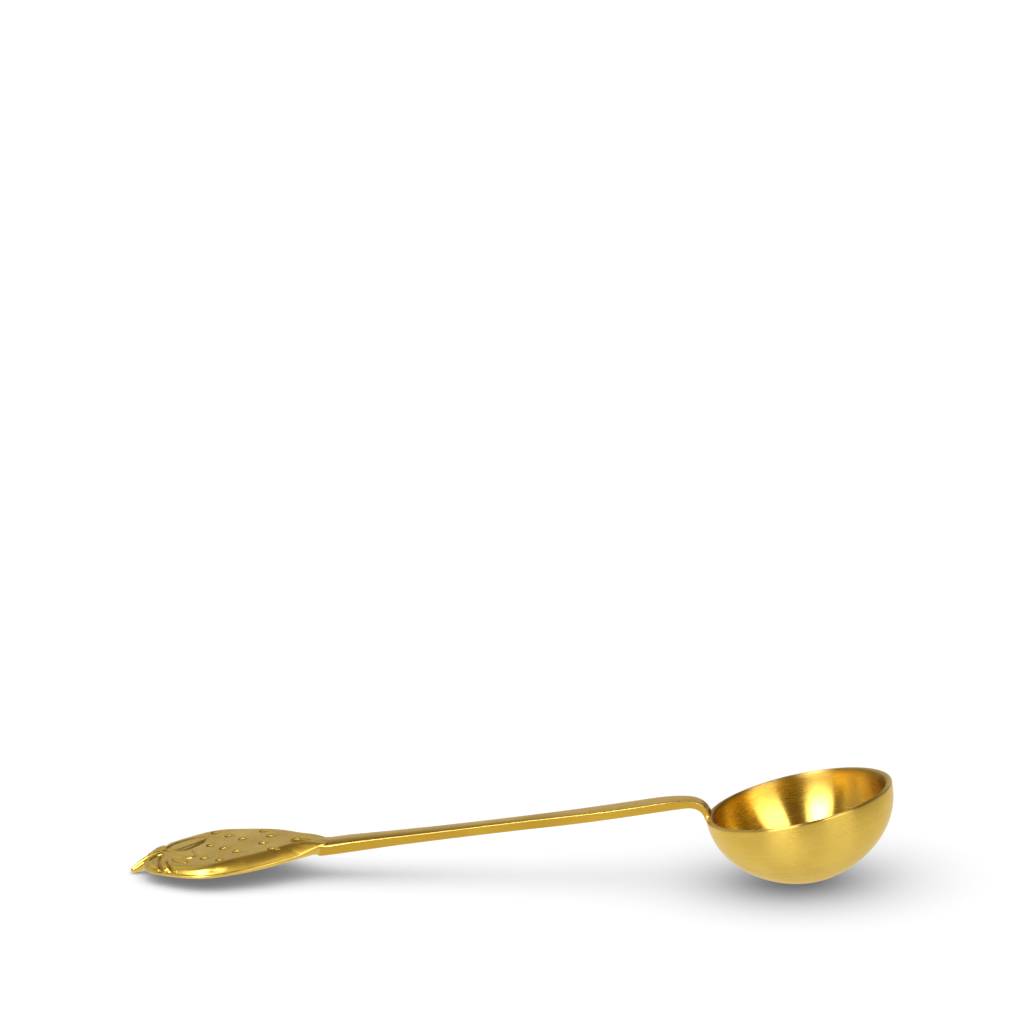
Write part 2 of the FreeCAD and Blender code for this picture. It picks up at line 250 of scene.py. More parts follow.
RING_SCALE = (0.02, 2.2)         # round the bowl and down its wall
FINE_BUMP = 0.5                  # height of the fine grain, with the brushing's as 1
BUMP_HEIGHT = 0.02               # mm
BRUSH_TURN = 0.25                # a quarter turn: highlights spread across the brushing

# ---- camera and light (metres) ----
CAMERA_TURN = math.radians(6.44)  # from straight in front, towards the bowl
CAMERA_HEIGHT = math.radians(16.65)
CAMERA_ROLL = math.radians(-1.20)
CAMERA_DISTANCE = 8.0
CAMERA_REACH = 32.0              # nothing further away is drawn
FRAME_WIDTH = 0.2346             # width of the view at the spoon
SENSOR = 36.0
AIM_LEFT = 0.06535               # the view's centre is this far left of the bowl's rim centre
AIM_ABOVE = 0.06549              # and this far above it
FLOOR_SIZE = 6.0
WORLD_LIGHT = 0.17
WORLD_COLOUR = (1.0, 0.7, 0.25)
PANEL_DISTANCE = 3.0
PANEL_ROWS = 33
PANEL_COLUMNS = 33
# light panels: name, lower edge and upper edge (height, first turn, last turn), brightness at
# some heights, widths of the two soft sides; all angles in degrees
PANELS = (
    ("left_softbox", (-2, -39, -12), (64, -60, -11),
     ((-2, 0.6), (18, 1.1), (30, 6.0), (40, 15.0), (54, 21.0), (64, 5.0)), (2, 8)),
    ("right_softbox", (8, 37, 76), (68, 24, 82),
     ((8, 0.6), (19, 1.0), (32, 2.4), (44, 6.0), (58, 10.0), (68, 4.0)), (2, 8)),
    ("left_wall", (-2, -98, -58), (40, -98, -58), ((-2, 0.5), (30, 0.5), (40, 0.15)), (8, 5)),
    ("corner_wall", (6, -165, -104), (58, -165, -104),
     ((6, 0.3), (18, 0.75), (46, 0.9), (58, 0.3)), (10, 10)),
    ("back_wall", (2, 160, 215), (27, 160, 215), ((2, 0.84), (20, 0.84), (27, 0.36)), (8, 8)),
)
LAMP_SIZE = 7.0
LAMP_HEIGHT = 1.2
LAMP_POWER = 133.0
FLOOR_GLOW = 0.17
FLOOR_COLOUR = 0.9
FLOOR_ROUGHNESS = 0.9
FLOOR_SHINE = 1.03               # brightness of the sheet that the brass mirrors
FLOOR_GAP = 0.0002               # that sheet is this far below the floor


# ---- curves ----

def smooth_curve(points, steps, start=None, end=None):
    """Cubic spline through points, sampled with the same number of steps in each span."""
    points = np.asarray(points, float)
    gaps = np.linalg.norm(np.diff(points, axis=0), axis=1)
    slopes = np.diff(points, axis=0) / gaps[:, None]
    count = len(points)
    matrix = np.zeros((count, count))
    target = np.zeros_like(points)
    for i in range(1, count - 1):
        matrix[i, i - 1:i + 2] = gaps[i], 2 * (gaps[i - 1] + gaps[i]), gaps[i - 1]
        target[i] = 3 * (gaps[i] * slopes[i - 1] + gaps[i - 1] * slopes[i])
    matrix[0, :2] = (1, 0) if start is not None else (2, 1)
    matrix[-1, -2:] = (0, 1) if end is not None else (1, 2)
    target[0] = unit(start) if start is not None else 3 * slopes[0]
    target[-1] = unit(end) if end is not None else 3 * slopes[-1]
    tangents = np.linalg.solve(matrix, target)
    t = np.linspace(0, 1, steps, endpoint=False)[:, None]
    spans = [hermite(points[i], points[i + 1], tangents[i] * gaps[i], tangents[i + 1] * gaps[i], t)
             for i in range(count - 1)]
    return np.vstack(spans + [points[-1:]])


def hermite(p, q, m, n, t):
    """Cubic from p to q with the end tangents m and n."""
    return ((2 * t ** 3 - 3 * t ** 2 + 1) * p + (t ** 3 - 2 * t ** 2 + t) * m
            + (3 * t ** 2 - 2 * t ** 3) * q + (t ** 3 - t ** 2) * n)


def unit(vector):
    vector = np.asarray(vector, float)
    return vector / np.linalg.norm(vector)


def along(table, x):
    """A value that changes smoothly with x, from rows of (x, value)."""
    curve = smooth_curve(table, WIDTH_STEPS)
    return np.interp(x, curve[:, 0], curve[:, 1])


def round_average(values, count):
    """Running average over count neighbours of a closed row of values."""
    wrapped = np.concatenate([values[-count:], values, values[:count]])
    return np.convolve(wrapped, np.full(count, 1 / count), "same")[count:-count]


def ease(t):
    """0 up to t = 0, 1 from t = 1, and smooth between."""
    t = np.clip(t, 0, 1)
    return t * t * (3 - 2 * t)


def passed(x, span):
    """0 before the span, 1 after it, and smooth between."""
    return ease((x - span[0]) / (span[1] - span[0]))


def soft_max(a, b, width):
    """The larger of two values, with the change from one to the other rounded."""
    return (a + b + np.sqrt((a - b) ** 2 + width ** 2)) / 2


# ---- mesh helpers ----

def ring_faces(rows, sides):
    """Quads between successive rings of the same number of points."""
    here = np.arange(rows - 1)[:, None] * sides + np.arange(sides)
    after = np.arange(rows - 1)[:, None] * sides + (np.arange(sides) + 1) % sides
    return np.stack([here, after, after + sides, here + sides], axis=-1).reshape(-1, 4).tolist()


def closed_rings(rings, first, last):
    """Points and faces of a tube of rings, closed at both ends by a point."""
    rings = np.asarray(rings, float)
    rows, sides = rings.shape[:2]
    points = np.vstack([rings.reshape(-1, 3), first, last])
    faces = ring_faces(rows, sides)
    top, bottom = rows * sides, rows * sides + 1
    faces += [(top, (i + 1) % sides, i) for i in range(sides)]
    start = (rows - 1) * sides
    faces += [(bottom, start + i, start + (i + 1) % sides) for i in range(sides)]
    return points, faces


def signed_volume(points, faces):
    """Volume inside the faces. It is negative if they look inwards."""
    total = 0.0
    for size in (3, 4):
        chosen = np.array([f for f in faces if len(f) == size], int)
        for k in range(1, size - 1):
            if len(chosen):
                a, b, c = points[chosen[:, 0]], points[chosen[:, k]], points[chosen[:, k + 1]]
                total += np.einsum("ij,ij->i", a, np.cross(b, c)).sum() / 6
    return total


def make_piece(name, points, faces, node, material, origin, values=None):
    """A smooth mesh object, in metres, shifted to its place in the frame.

    values has one number per point for each attribute that the material reads."""
    if signed_volume(points, faces) < 0:
        faces = [tuple(reversed(face)) for face in faces]
    mesh = bpy.data.meshes.new(name)
    mesh.from_pydata((points * MM).tolist(), [], faces)
    mesh.shade_smooth()
    for label, data in (values or {}).items():
        attribute = mesh.attributes.new(label, "FLOAT", "POINT")
        attribute.data.foreach_set("value", np.asarray(data, np.float32))
    mesh.materials.append(material)
    piece = bpy.data.objects.new(name, mesh)
    piece.location = origin
    bpy.context.scene.collection.objects.link(piece)
    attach(piece, "root")
    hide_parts(node)
    return piece


def row_distance(rings):
    """For each ring, how far it lies from the first one along the surface, in millimetres."""
    steps = np.linalg.norm(np.diff(rings, axis=0), axis=2).mean(axis=1)
    return np.concatenate([[0.0], np.cumsum(steps)])


# ---- bowl ----

def bowl_profile(radius, depth):
    """Half profile (radius, height), from the rim down to the axis."""
    turn = np.linspace(0, math.pi / 2, PROFILE_SPANS + 1)
    across = radius * np.cos(turn).clip(0) ** SIDE_POWER
    down = -depth * np.sin(turn) ** FLOOR_POWER
    across[-1] = 0.0
    return smooth_curve(np.column_stack([across, down]), PROFILE_STEPS, (0, -1), (-1, 0))


def bowl_section():
    """The whole wall in section: up the outside, round the rim and down the inside.

    Also gives the row at which the rim is reached."""
    outside = bowl_profile(BOWL_R, BOWL_DEPTH)
    inside = bowl_profile(BOWL_R - BOWL_WALL, BOWL_DEPTH - BOWL_WALL)
    turn = np.linspace(0, math.pi / 2, RIM_STEPS)
    outer = np.column_stack([BOWL_R - RIM_ROUND + RIM_ROUND * np.cos(turn),
                             -RIM_ROUND + RIM_ROUND * np.sin(turn)])
    inner = np.column_stack([BOWL_R - BOWL_WALL + RIM_ROUND - RIM_ROUND * np.sin(turn),
                             -RIM_ROUND + RIM_ROUND * np.cos(turn)])
    below_rim = -RIM_ROUND * RIM_CLEAR
    outside = outside[outside[:, 1] < below_rim][::-1]
    inside = inside[inside[:, 1] < below_rim]
    return np.vstack([outside, outer, inner, inside]), len(outside) + RIM_STEPS


def make_bowl(origin, material):
    """The section turned round the bowl's axis, which is then tilted."""
    section, rim_row = bowl_section()
    angle = np.linspace(0, 2 * math.pi, BOWL_SIDES, endpoint=False)
    rings = np.stack([
        section[1:-1, 0][:, None] * np.cos(angle),
        section[1:-1, 0][:, None] * np.sin(angle),
        np.repeat(section[1:-1, 1][:, None], BOWL_SIDES, axis=1),
    ], axis=-1)
    points, faces = closed_rings(rings, (0, 0, section[0, 1]), (0, 0, section[-1, 1]))
    tilt = np.array(Matrix.Rotation(-BOWL_TILT, 3, "Y"))
    points = points @ tilt.T
    sweep = row_distance(rings)
    # painted shade: a band along the rim where the brass is darker
    rim_shade = np.exp(-((sweep - sweep[rim_row]) / RIM_BAND) ** 2)
    values = {
        "sweep": spread(sweep, BOWL_SIDES, sweep[0], sweep[-1]),
        "rim": spread(rim_shade, BOWL_SIDES, 0, 0),
    }
    piece = make_piece("bowl_shell", points, faces, "bowl", material, origin, values)
    unroll(piece.data, len(rings), BOWL_SIDES)


def unroll(mesh, rows, sides):
    """UV map whose u runs round the rings, for the direction of the brushing."""
    index = np.zeros(len(mesh.loops), int)
    mesh.loops.foreach_get("vertex_index", index)
    row, side = np.divmod(index, sides)
    u = side / sides
    sizes = np.zeros(len(mesh.polygons), int)
    mesh.polygons.foreach_get("loop_total", sizes)
    face = np.repeat(np.arange(len(sizes)), sizes)
    widest = np.zeros(len(sizes))
    np.maximum.at(widest, face, np.where(row < rows, u, 0))
    u = np.where((u == 0) & (widest[face] > 0.5), 1.0, u)
    uv = mesh.uv_layers.new(name="brushing")
    uv.data.foreach_set("uv", np.column_stack([u, row / rows]).astype(np.float32).ravel())


def spread(rows, sides, first, last):
    """One value per ring, repeated round the ring, then those of the two end points."""
    return np.concatenate([np.repeat(rows, sides), [first, last]])


def bowl_reach():
    """Furthest x of the tilted bowl and height of its rim's centre, both in millimetres."""
    profile = bowl_profile(BOWL_R, BOWL_DEPTH)
    across, up = profile[:, 0], profile[:, 1]
    reach = (across * math.cos(BOWL_TILT) - up * math.sin(BOWL_TILT)).max()
    lowest = (up * math.cos(BOWL_TILT) - across * math.sin(BOWL_TILT)).min()
    return reach, -lowest


# ---- handle ----

def strip_top(x):
    """Height of the straight part's top face."""
    return STRIP_TOP[1] + STRIP_SLOPE * (x - STRIP_TOP[0])


def ramp(x):
    """How far the narrow end of the plate, and the strip beside it, rise above the strip."""
    start, end, height = RAMP
    return height * (1 - passed(x, (start, end)))


def strip_lines():
    """Matching points of the strip's top and under lines, from the tongue's end to the rim."""
    straight = np.arange(TONGUE_END, STRAIGHT_END, STATION)
    fine = np.arange(SHOULDER - SHOULDER_LENGTH, SHOULDER + SHOULDER_LENGTH, STATION / SHOULDER_STATIONS)
    straight = np.unique(np.round(np.concatenate([straight, fine]), STATION_DIGITS))
    straight = straight[straight < STRAIGHT_END]
    climb = (1.0, STRIP_SLOPE)
    lines = []
    for knots, drop in ((NECK_TOP, 0.0), (NECK_UNDER, STRIP_THICK)):
        bent = [(STRAIGHT_END, strip_top(STRAIGHT_END) - drop)] + list(knots)
        bent = smooth_curve(bent, NECK_STEPS, climb, NECK_END)
        lines.append(np.vstack([np.column_stack([straight, strip_top(straight) - drop]), bent]))
    top, under = lines
    places, up, down = np.transpose(SWELL)
    shown = top[:, 0] > SHOULDER - SHOULDER_LENGTH
    raised = np.maximum(ramp(top[:, 0]) - RAMP_GAP, 0) + np.interp(top[:, 0], places, up)
    top[:, 1] += np.where(shown, raised, 0)
    under[:, 1] -= np.where(shown, np.interp(top[:, 0], places, down), 0)
    return top, under


def strip_ring(top, under, half, top_round, under_round, crown):
    """Rounded rectangle between a top and an under point, with its top face bulged by crown."""
    thick = np.linalg.norm(top - under)
    top_limit, under_limit = ROUND_LIMITS
    top_round = min(top_round, thick * top_limit, half * top_limit)
    under_round = min(under_round, thick * under_limit)
    turn = np.linspace(0, math.pi / 2, CORNER_STEPS)[1:-1]
    face = np.linspace(-1, 1, FACE_STEPS + 1)
    side = np.linspace(0, 1, SIDE_STEPS + 1)[1:-1]
    edge = half - top_round
    foot = half - under_round
    brow = thick - crown
    right = [(edge + top_round * math.sin(t), brow - top_round * (1 - math.cos(t))) for t in turn]
    upper, lower = brow - top_round, under_round
    flank = [(half, upper)] + [(half, upper + (lower - upper) * s) for s in side] + [(half, lower)]
    corner = [(foot + under_round * math.cos(t), under_round * (1 - math.sin(t))) for t in turn]
    half_ring = right + flank + corner
    ring = [(edge * f, thick - crown * f ** 2) for f in face]
    ring += half_ring
    ring += [(-foot * f, 0.0) for f in face]
    ring += [(-a, b) for a, b in reversed(half_ring)]
    ring = np.array(ring)
    up = (top - under) / thick
    return np.column_stack([under[0] + up[0] * ring[:, 1], ring[:, 0], under[1] + up[1] * ring[:, 1]])


def make_handle(origin, material):
    """The strip, as sections from the tongue's end to the rim."""
    top, under = strip_lines()
    x = (top[:, 0] + under[:, 0]) / 2
    half = along(STRIP_HALF, np.maximum(x, STRIP_HALF[0][0]))
    shoulder = ease((x - SHOULDER) / SHOULDER_LENGTH + 0.5)
    half = TONGUE_HALF + (half - TONGUE_HALF) * shoulder
    top_round = np.interp(x, *np.transpose(TOP_ROUND))
    under_round = np.interp(x, *np.transpose(UNDER_ROUND))
    crown = np.interp(x, *np.transpose(CROWN))
    rings = [strip_ring(*row) for row in zip(top, under, half, top_round, under_round, crown)]
    rings = np.array(rings)
    points, faces = closed_rings(rings, rings[0].mean(axis=0), rings[-1].mean(axis=0))
    # the top corners get the paler colour of wear, which is also a painted highlight
    edge = np.zeros(rings.shape[:2])
    edge[:, FACE_STEPS:FACE_STEPS + WORN_HIGHLIGHT_POINTS] = 1
    edge[:, 1 - WORN_HIGHLIGHT_POINTS:] = 1
    values = {"wear_and_highlight": np.concatenate([edge.ravel(), [0, 0]])}
    make_piece("handle_strip", points, faces, "handle", material, origin, values)


# ---- strawberry plate ----

def plate_top(x):
    """Height of the plate's flat top."""
    return strip_top(x) + PLATE_SHEET


def lip_drop(x):
    """How far the edge's lip hangs below the flat top."""
    place, drop, bend = LIP_DROP
    return drop - bend * (x - place) ** 2


def ray_lengths(angle):
    """How far the outline is from the plate's middle, in each direction."""
    outline = np.array(FRUIT)
    closed = np.vstack([outline[-OUTLINE_OVERLAP:], outline, outline[:OUTLINE_OVERLAP + 1]])
    curve = smooth_curve(closed, OUTLINE_STEPS)
    offset = curve - (PLATE_MIDDLE, 0)
    heading = np.arctan2(offset[:, 1], offset[:, 0]) % (2 * math.pi)
    length = np.linalg.norm(offset, axis=1)
    order = np.argsort(heading)
    length = np.interp(angle, heading[order], length[order], period=2 * math.pi)
    for direction, width, height in LOBES:
        away = (np.degrees(angle) - direction) / width
        length = length + height * np.exp(-away ** 2 * LOBE_SHARPNESS)
    return length


def seed_places():
    """Place (x, y) and size of every seed."""
    places = [(x + dx * i, y + dy * i, 1.0) for x, y, n, dx, dy in SEED_ROWS for i in range(n)]
    return places + [LAST_SEED + (LAST_SEED_SIZE,)]


def seed_edge(x, y, size):
    """Distance outside a teardrop whose point looks towards the handle. It is negative inside."""
    x, y = x / size, np.abs(y) / size
    slant = math.asin(SEED_R / SEED_POINT)
    reach = x * math.cos(slant) - y * math.sin(slant)
    flank = y * math.cos(slant) + x * math.sin(slant) - SEED_R
    ball = np.hypot(x, y) - SEED_R
    point = np.hypot(x - SEED_POINT, y)
    return size * np.where(reach < 0, ball, np.where(reach > SEED_POINT * math.cos(slant), point, flank))


def path_distance(x, y, path):
    """Distance to a polyline and the share of its length where it is nearest."""
    best = np.full(x.shape, np.inf)
    share = np.zeros(x.shape)
    for i in range(len(path) - 1):
        start, step = path[i], path[i + 1] - path[i]
        t = (((x - start[0]) * step[0] + (y - start[1]) * step[1]) / (step @ step)).clip(0, 1)
        gap = np.hypot(x - start[0] - t * step[0], y - start[1] - t * step[1])
        nearer = gap < best
        best = np.where(nearer, gap, best)
        share = np.where(nearer, (i + t) / (len(path) - 1), share)
    return best, share


def plate_relief(x, y):
    """Depth below the smooth skin, and the depth of seeds and grooves alone, where the brass is painted
    darker as painted shade.
    """
    lip, lip_place, lip_width = SEED_LIP
    depth = np.zeros(x.shape)
    for seed_x, seed_y, size in seed_places():
        edge = seed_edge(x - seed_x, y - seed_y, size)
        depth = np.maximum(depth, SEED_DEPTH * ease(SEED_START - edge / SEED_WALL))
        depth -= lip * np.exp(-((edge - lip_place) / lip_width) ** 2)
    grooves = np.zeros(x.shape)
    for deep, width, places in LEAF_GROOVES:
        gap, share = path_distance(x, y, smooth_curve(places, GROOVE_STEPS))
        taper = ease(share * GROOVE_TAPER + GROOVE_END) * ease((1 - share) * GROOVE_TAPER + GROOVE_END)
        grooves = np.maximum(grooves, deep * taper * (1 - gap / width).clip(0) ** GROOVE_POWER)
    domes = np.zeros(x.shape)
    for height, width, first, last in LEAF_DOMES:
        gap, _ = path_distance(x, y, np.array([first, last]))
        domes = np.maximum(domes, height * ease((1 - gap / width) / LEAF_EDGE))
    return depth + grooves - domes, np.maximum(depth, grooves)


def edge_section(roll, step, lip_step, drop, dome, dome_width, dome_fall):
    """Inset and fall of a point of the edge's upper skin, from the flat top to above the corner.

    roll is the rounded edge's curve. step runs over the slope, then lip_step over the lip. dome is
    the share of the domed section."""
    place = (ROLL_SHARE * step + (1 - ROLL_SHARE) * lip_step) * (len(roll) - 1)
    side = drop - LIP_ROUND
    roll_inset, roll_share = (np.interp(place, np.arange(len(roll)), column) for column in roll.T)
    roll_fall = side * roll_share
    corner = DOME_CORNER * max(1 - CORNER_SPEED * lip_step, 0) ** 2
    dome_inset = (dome_width - DOME_CORNER) * (1 - step) + corner
    dome_drop = dome_fall * step ** 2 + (side - dome_fall) * lip_step
    return roll_inset + (dome_inset - roll_inset) * dome, roll_fall + (dome_drop - roll_fall) * dome


def plate_rows(length, drop, dome, dome_width, dome_fall):
    """Inset from the outline, fall below the top and share of the relief, in each row of points.

    The rows run from the middle over the edge to the middle of the underside. The second result
    is how many of them are on the top side."""
    roll = smooth_curve(ROLL_SECTION, ROLL_ROWS, (-1, 0), (0, 1))
    wide = ROLL + (dome_width - ROLL) * dome
    level = np.zeros(len(length))
    flat = np.linspace(0, 1, FLAT_ROWS)[1:-1]
    rows = [(length - (length - wide) * share, level, 1.0) for share in flat]
    for step in np.linspace(0, 1, ROLL_ROWS):
        rows.append((*edge_section(roll, step, 0.0, drop, dome, dome_width, dome_fall), 1.0))
    for step in np.linspace(0, 1, LIP_ROWS)[1:]:
        rows.append((*edge_section(roll, 1.0, step, drop, dome, dome_width, dome_fall), 1.0 - step))
    side = drop - LIP_ROUND
    for turn in np.linspace(0, math.pi / 2, CORNER_ROWS)[1:]:
        rows.append((level + LIP_ROUND * (1 - math.cos(turn)), side + LIP_ROUND * math.sin(turn), 0.0))
    top_rows = len(rows)
    inner = LIP_INNER_ROUND
    for turn in np.linspace(0, math.pi / 2, CORNER_ROWS):
        rows.append((level + PLATE_SHEET - inner + inner * math.sin(turn),
                     drop - inner * (1 - math.cos(turn)), 0.0))
    hollow = drop - inner - PLATE_SHEET
    for turn in np.linspace(math.pi / 2, 0, UNDER_ROWS)[1:]:
        rows.append((PLATE_SHEET + (wide - PLATE_SHEET) * (1 - math.sin(turn)),
                     PLATE_SHEET + hollow * (1 - math.cos(turn)), 0.0))
    for share in np.linspace(1, 0, UNDER_ROWS)[1:-1]:
        rows.append((length - (length - wide) * share, PLATE_SHEET + level, 0.0))
    return rows, top_rows


def make_plate(origin, material):
    """The pressed sheet, as rings of points round its middle."""
    angle = np.linspace(0, 2 * math.pi, PLATE_RAYS, endpoint=False)
    length = ray_lengths(angle)
    heading = np.column_stack([np.cos(angle), np.sin(angle)])
    edge_x = PLATE_MIDDLE + length * heading[:, 0]
    near = ease(0.5 - heading[:, 1] / NEAR_BLEND)
    dome = passed(edge_x, DOME_FROM) * near
    slant = np.hypot(1, np.gradient(length, angle) / length)
    width = round_average(np.minimum(DOME * slant, DOME_WIDEST), WIDTH_AVERAGE)
    half_width = np.abs(length * heading[:, 1])
    dome_fall = DOME_FALL * (half_width / DOME_FULL).clip(DOME_LEAST, 1)
    rows, top_rows = plate_rows(length, lip_drop(edge_x), dome, width, dome_fall)
    reach = length - np.array([row[0] for row in rows])
    fall = np.array([row[1] for row in rows])
    share = np.array([row[2] for row in rows])[:, None]
    x = PLATE_MIDDLE + reach * heading[:, 0]
    y = reach * heading[:, 1]
    sloped = soft_max(fall, PLATE_SHEET - ramp(x), RAMP_BLEND) - RAMP_BLEND / 2
    fall[:top_rows] = sloped[:top_rows]
    # the relief goes in at a right angle to the smooth skin
    along_fall, along_reach = np.gradient(fall, axis=0), np.gradient(reach, axis=0)
    length_of_step = np.hypot(along_fall, along_reach)
    deep, pit = plate_relief(x, y)
    reach = reach - deep * share * along_fall / length_of_step
    fall = fall + deep * share * along_reach / length_of_step
    x = PLATE_MIDDLE + reach * heading[:, 0]
    rings = np.stack([x, reach * heading[:, 1], plate_top(x) - fall], axis=-1)
    middle = np.array([PLATE_MIDDLE, 0, plate_top(PLATE_MIDDLE)])
    points, faces = closed_rings(rings, middle, middle - (0, 0, PLATE_SHEET))
    # the pits and grooves are painted darker as painted shade; the lip gets the paler colour of wear and a
    # painted highlight
    lip = np.exp(-((np.arange(len(rings)) - top_rows) / LIP_WEAR_HIGHLIGHT_ROWS) ** 2)
    values = {
        "recess": np.concatenate([(pit * share).ravel() / SEED_DEPTH, [0, 0]]).clip(0, 1),
        "wear_and_highlight": spread(lip, PLATE_RAYS, 0, 0),
    }
    make_piece("strawberry_shell", points, faces, "strawberry_plate", material, origin,
               values)


# ---- tubes: stalk and beads ----

def tube(path, radii, sides, crease=None):
    """Rings round a path, closed at both ends."""
    path = np.asarray(path, float)
    ahead = np.gradient(path, axis=0)
    ahead /= np.linalg.norm(ahead, axis=1)[:, None]
    angle = np.linspace(0, 2 * math.pi, sides, endpoint=False)
    rings = []
    for point, way, radius in zip(path, ahead, radii):
        side = unit(np.cross(way, (0, 0, 1)))
        up = np.cross(side, way)
        size = np.full(sides, radius)
        if crease is not None:
            deep, width, place = crease
            size *= 1 - deep * np.exp(-((angle - place) / width) ** 2)
        rings.append(point + (np.cos(angle) * size)[:, None] * side + (np.sin(angle) * size)[:, None] * up)
    return closed_rings(rings, path[0] - ahead[0] * TUBE_CAP, path[-1] + ahead[-1] * TUBE_CAP)


def rounded_end(path, radii, rows):
    """Adds a half ball to a path's end."""
    way = unit(path[-1] - path[-2])
    turn = np.linspace(0, math.pi / 2, rows)[1:-1]
    more = [path[-1] + way * radii[-1] * math.sin(t) for t in turn]
    return np.vstack([path, more]), np.concatenate([radii, radii[-1] * np.cos(turn)])


def make_stalk(origin, material):
    line = smooth_curve(STALK, STALK_STEPS)
    path, radii = rounded_end(line[:, :3], line[:, 3], TIP_ROWS)
    points, faces = tube(path, radii, STALK_SIDES, STALK_CREASE)
    make_piece("stalk", points, faces, "strawberry_plate", material, origin)


def make_neck_bead(origin, material):
    """Bead of braze that follows the rim's curve across the strip's end."""
    x, z, radius, half = NECK_BEAD
    y = np.linspace(-half, half, NECK_BEAD_POINTS)
    bow = BOWL_R - np.sqrt(BOWL_R ** 2 - y ** 2)
    path = np.column_stack([x + bow, y, z + bow * math.tan(BOWL_TILT)])
    radii = np.full(len(path), radius)
    path, radii = rounded_end(path, radii, TIP_ROWS)
    path, radii = rounded_end(path[::-1], radii[::-1], TIP_ROWS)
    points, faces = tube(path, radii, BEAD_SIDES)
    # the whole bead gets the paler colour of wear and a painted highlight
    values = {"wear_and_highlight": np.ones(len(points))}
    make_piece("neck_bead", points, faces, "neck_braze", material, origin, values)


def make_plate_fillet(origin, material):
    """Bead of braze round the tongue, in the corner under the plate."""
    half, end = TONGUE_HALF + TONGUE_BEAD_GAP, TONGUE_END - TONGUE_BEAD_GAP
    start = SHOULDER - SHOULDER_LENGTH
    corner = TONGUE_BEAD_CORNER
    turn = np.linspace(0, math.pi / 2, CORNER_POINTS)
    near = [(x, -half) for x in np.linspace(start, end + corner, TONGUE_BEAD_POINTS)]
    near += [(end + corner - corner * math.sin(t), -half + corner - corner * math.cos(t)) for t in turn[1:]]
    route = np.array(near + [(x, -y) for x, y in reversed(near)])
    path = np.column_stack([route, strip_top(route[:, 0]) - TONGUE_BEAD_SINK])
    points, faces = tube(path, np.full(len(path), TONGUE_BEAD_R), BEAD_SIDES)
    make_piece("plate_fillet", points, faces, "plate_braze", material, origin)


# ---- materials ----

def add_node(tree, kind, **inputs):
    """New node with some of its inputs set. An underscore stands for a space in their names."""
    node = tree.nodes.new(kind)
    for key, value in inputs.items():
        node.inputs[key.replace("_", " ")].default_value = value
    return node


def noise(tree, vector, detail):
    node = add_node(tree, "ShaderNodeTexNoise", Scale=1.0, Detail=detail)
    tree.links.new(vector, node.inputs["Vector"])
    return node.outputs["Fac"]


def remap(tree, value, low, high):
    """Turns a 0 to 1 noise value, mostly near its middle, into low to high."""
    first, last = NOISE_SPAN
    node = add_node(tree, "ShaderNodeMapRange", From_Min=first, From_Max=last, To_Min=low, To_Max=high)
    tree.links.new(value, node.inputs["Value"])
    return node.outputs["Result"]


def combine(tree, operation, first, second):
    """Math node. Each operand is a number or a socket."""
    node = tree.nodes.new("ShaderNodeMath")
    node.operation = operation
    for socket, value in zip(node.inputs, (first, second)):
        if isinstance(value, (int, float)):
            socket.default_value = value
        else:
            tree.links.new(value, socket)
    return node.outputs[0]


def blend_colours(tree, share, first, second):
    """first where share is 0, second where it is 1. Each is a colour or a socket."""
    node = tree.nodes.new("ShaderNodeMix")
    node.data_type = "RGBA"
    tree.links.new(share, node.inputs["Factor"])
    for socket, value in zip((node.inputs[6], node.inputs[7]), (first, second)):
        if isinstance(value, tuple):
            socket.default_value = (*value, 1.0)
        else:
            tree.links.new(value, socket)
    return node.outputs[2]


def attribute(tree, name):
    """A number stored at the mesh's points. It is 0 on a mesh that doesn't have it."""
    node = tree.nodes.new("ShaderNodeAttribute")
    node.attribute_name = name
    return node.outputs["Fac"]


def stretched(tree, scale):
    """Object coordinates in millimetres, scaled along each axis."""
    place = tree.nodes.new("ShaderNodeTexCoord")
    node = add_node(tree, "ShaderNodeMapping", Scale=tuple(s / MM for s in scale))
    tree.links.new(place.outputs["Object"], node.inputs["Vector"])
    return node.outputs["Vector"]


def turned_grain(tree, around, across):
    """Coordinates for grain that runs round the bowl's axis."""
    place = tree.nodes.new("ShaderNodeTexCoord")
    split = tree.nodes.new("ShaderNodeSeparateXYZ")
    join = tree.nodes.new("ShaderNodeCombineXYZ")
    tree.links.new(place.outputs["Object"], split.inputs["Vector"])
    for axis in ("X", "Y"):
        tree.links.new(combine(tree, "MULTIPLY", split.outputs[axis], around / MM), join.inputs[axis])
    tree.links.new(combine(tree, "MULTIPLY", attribute(tree, "sweep"), across), join.inputs["Z"])
    return join.outputs["Vector"]


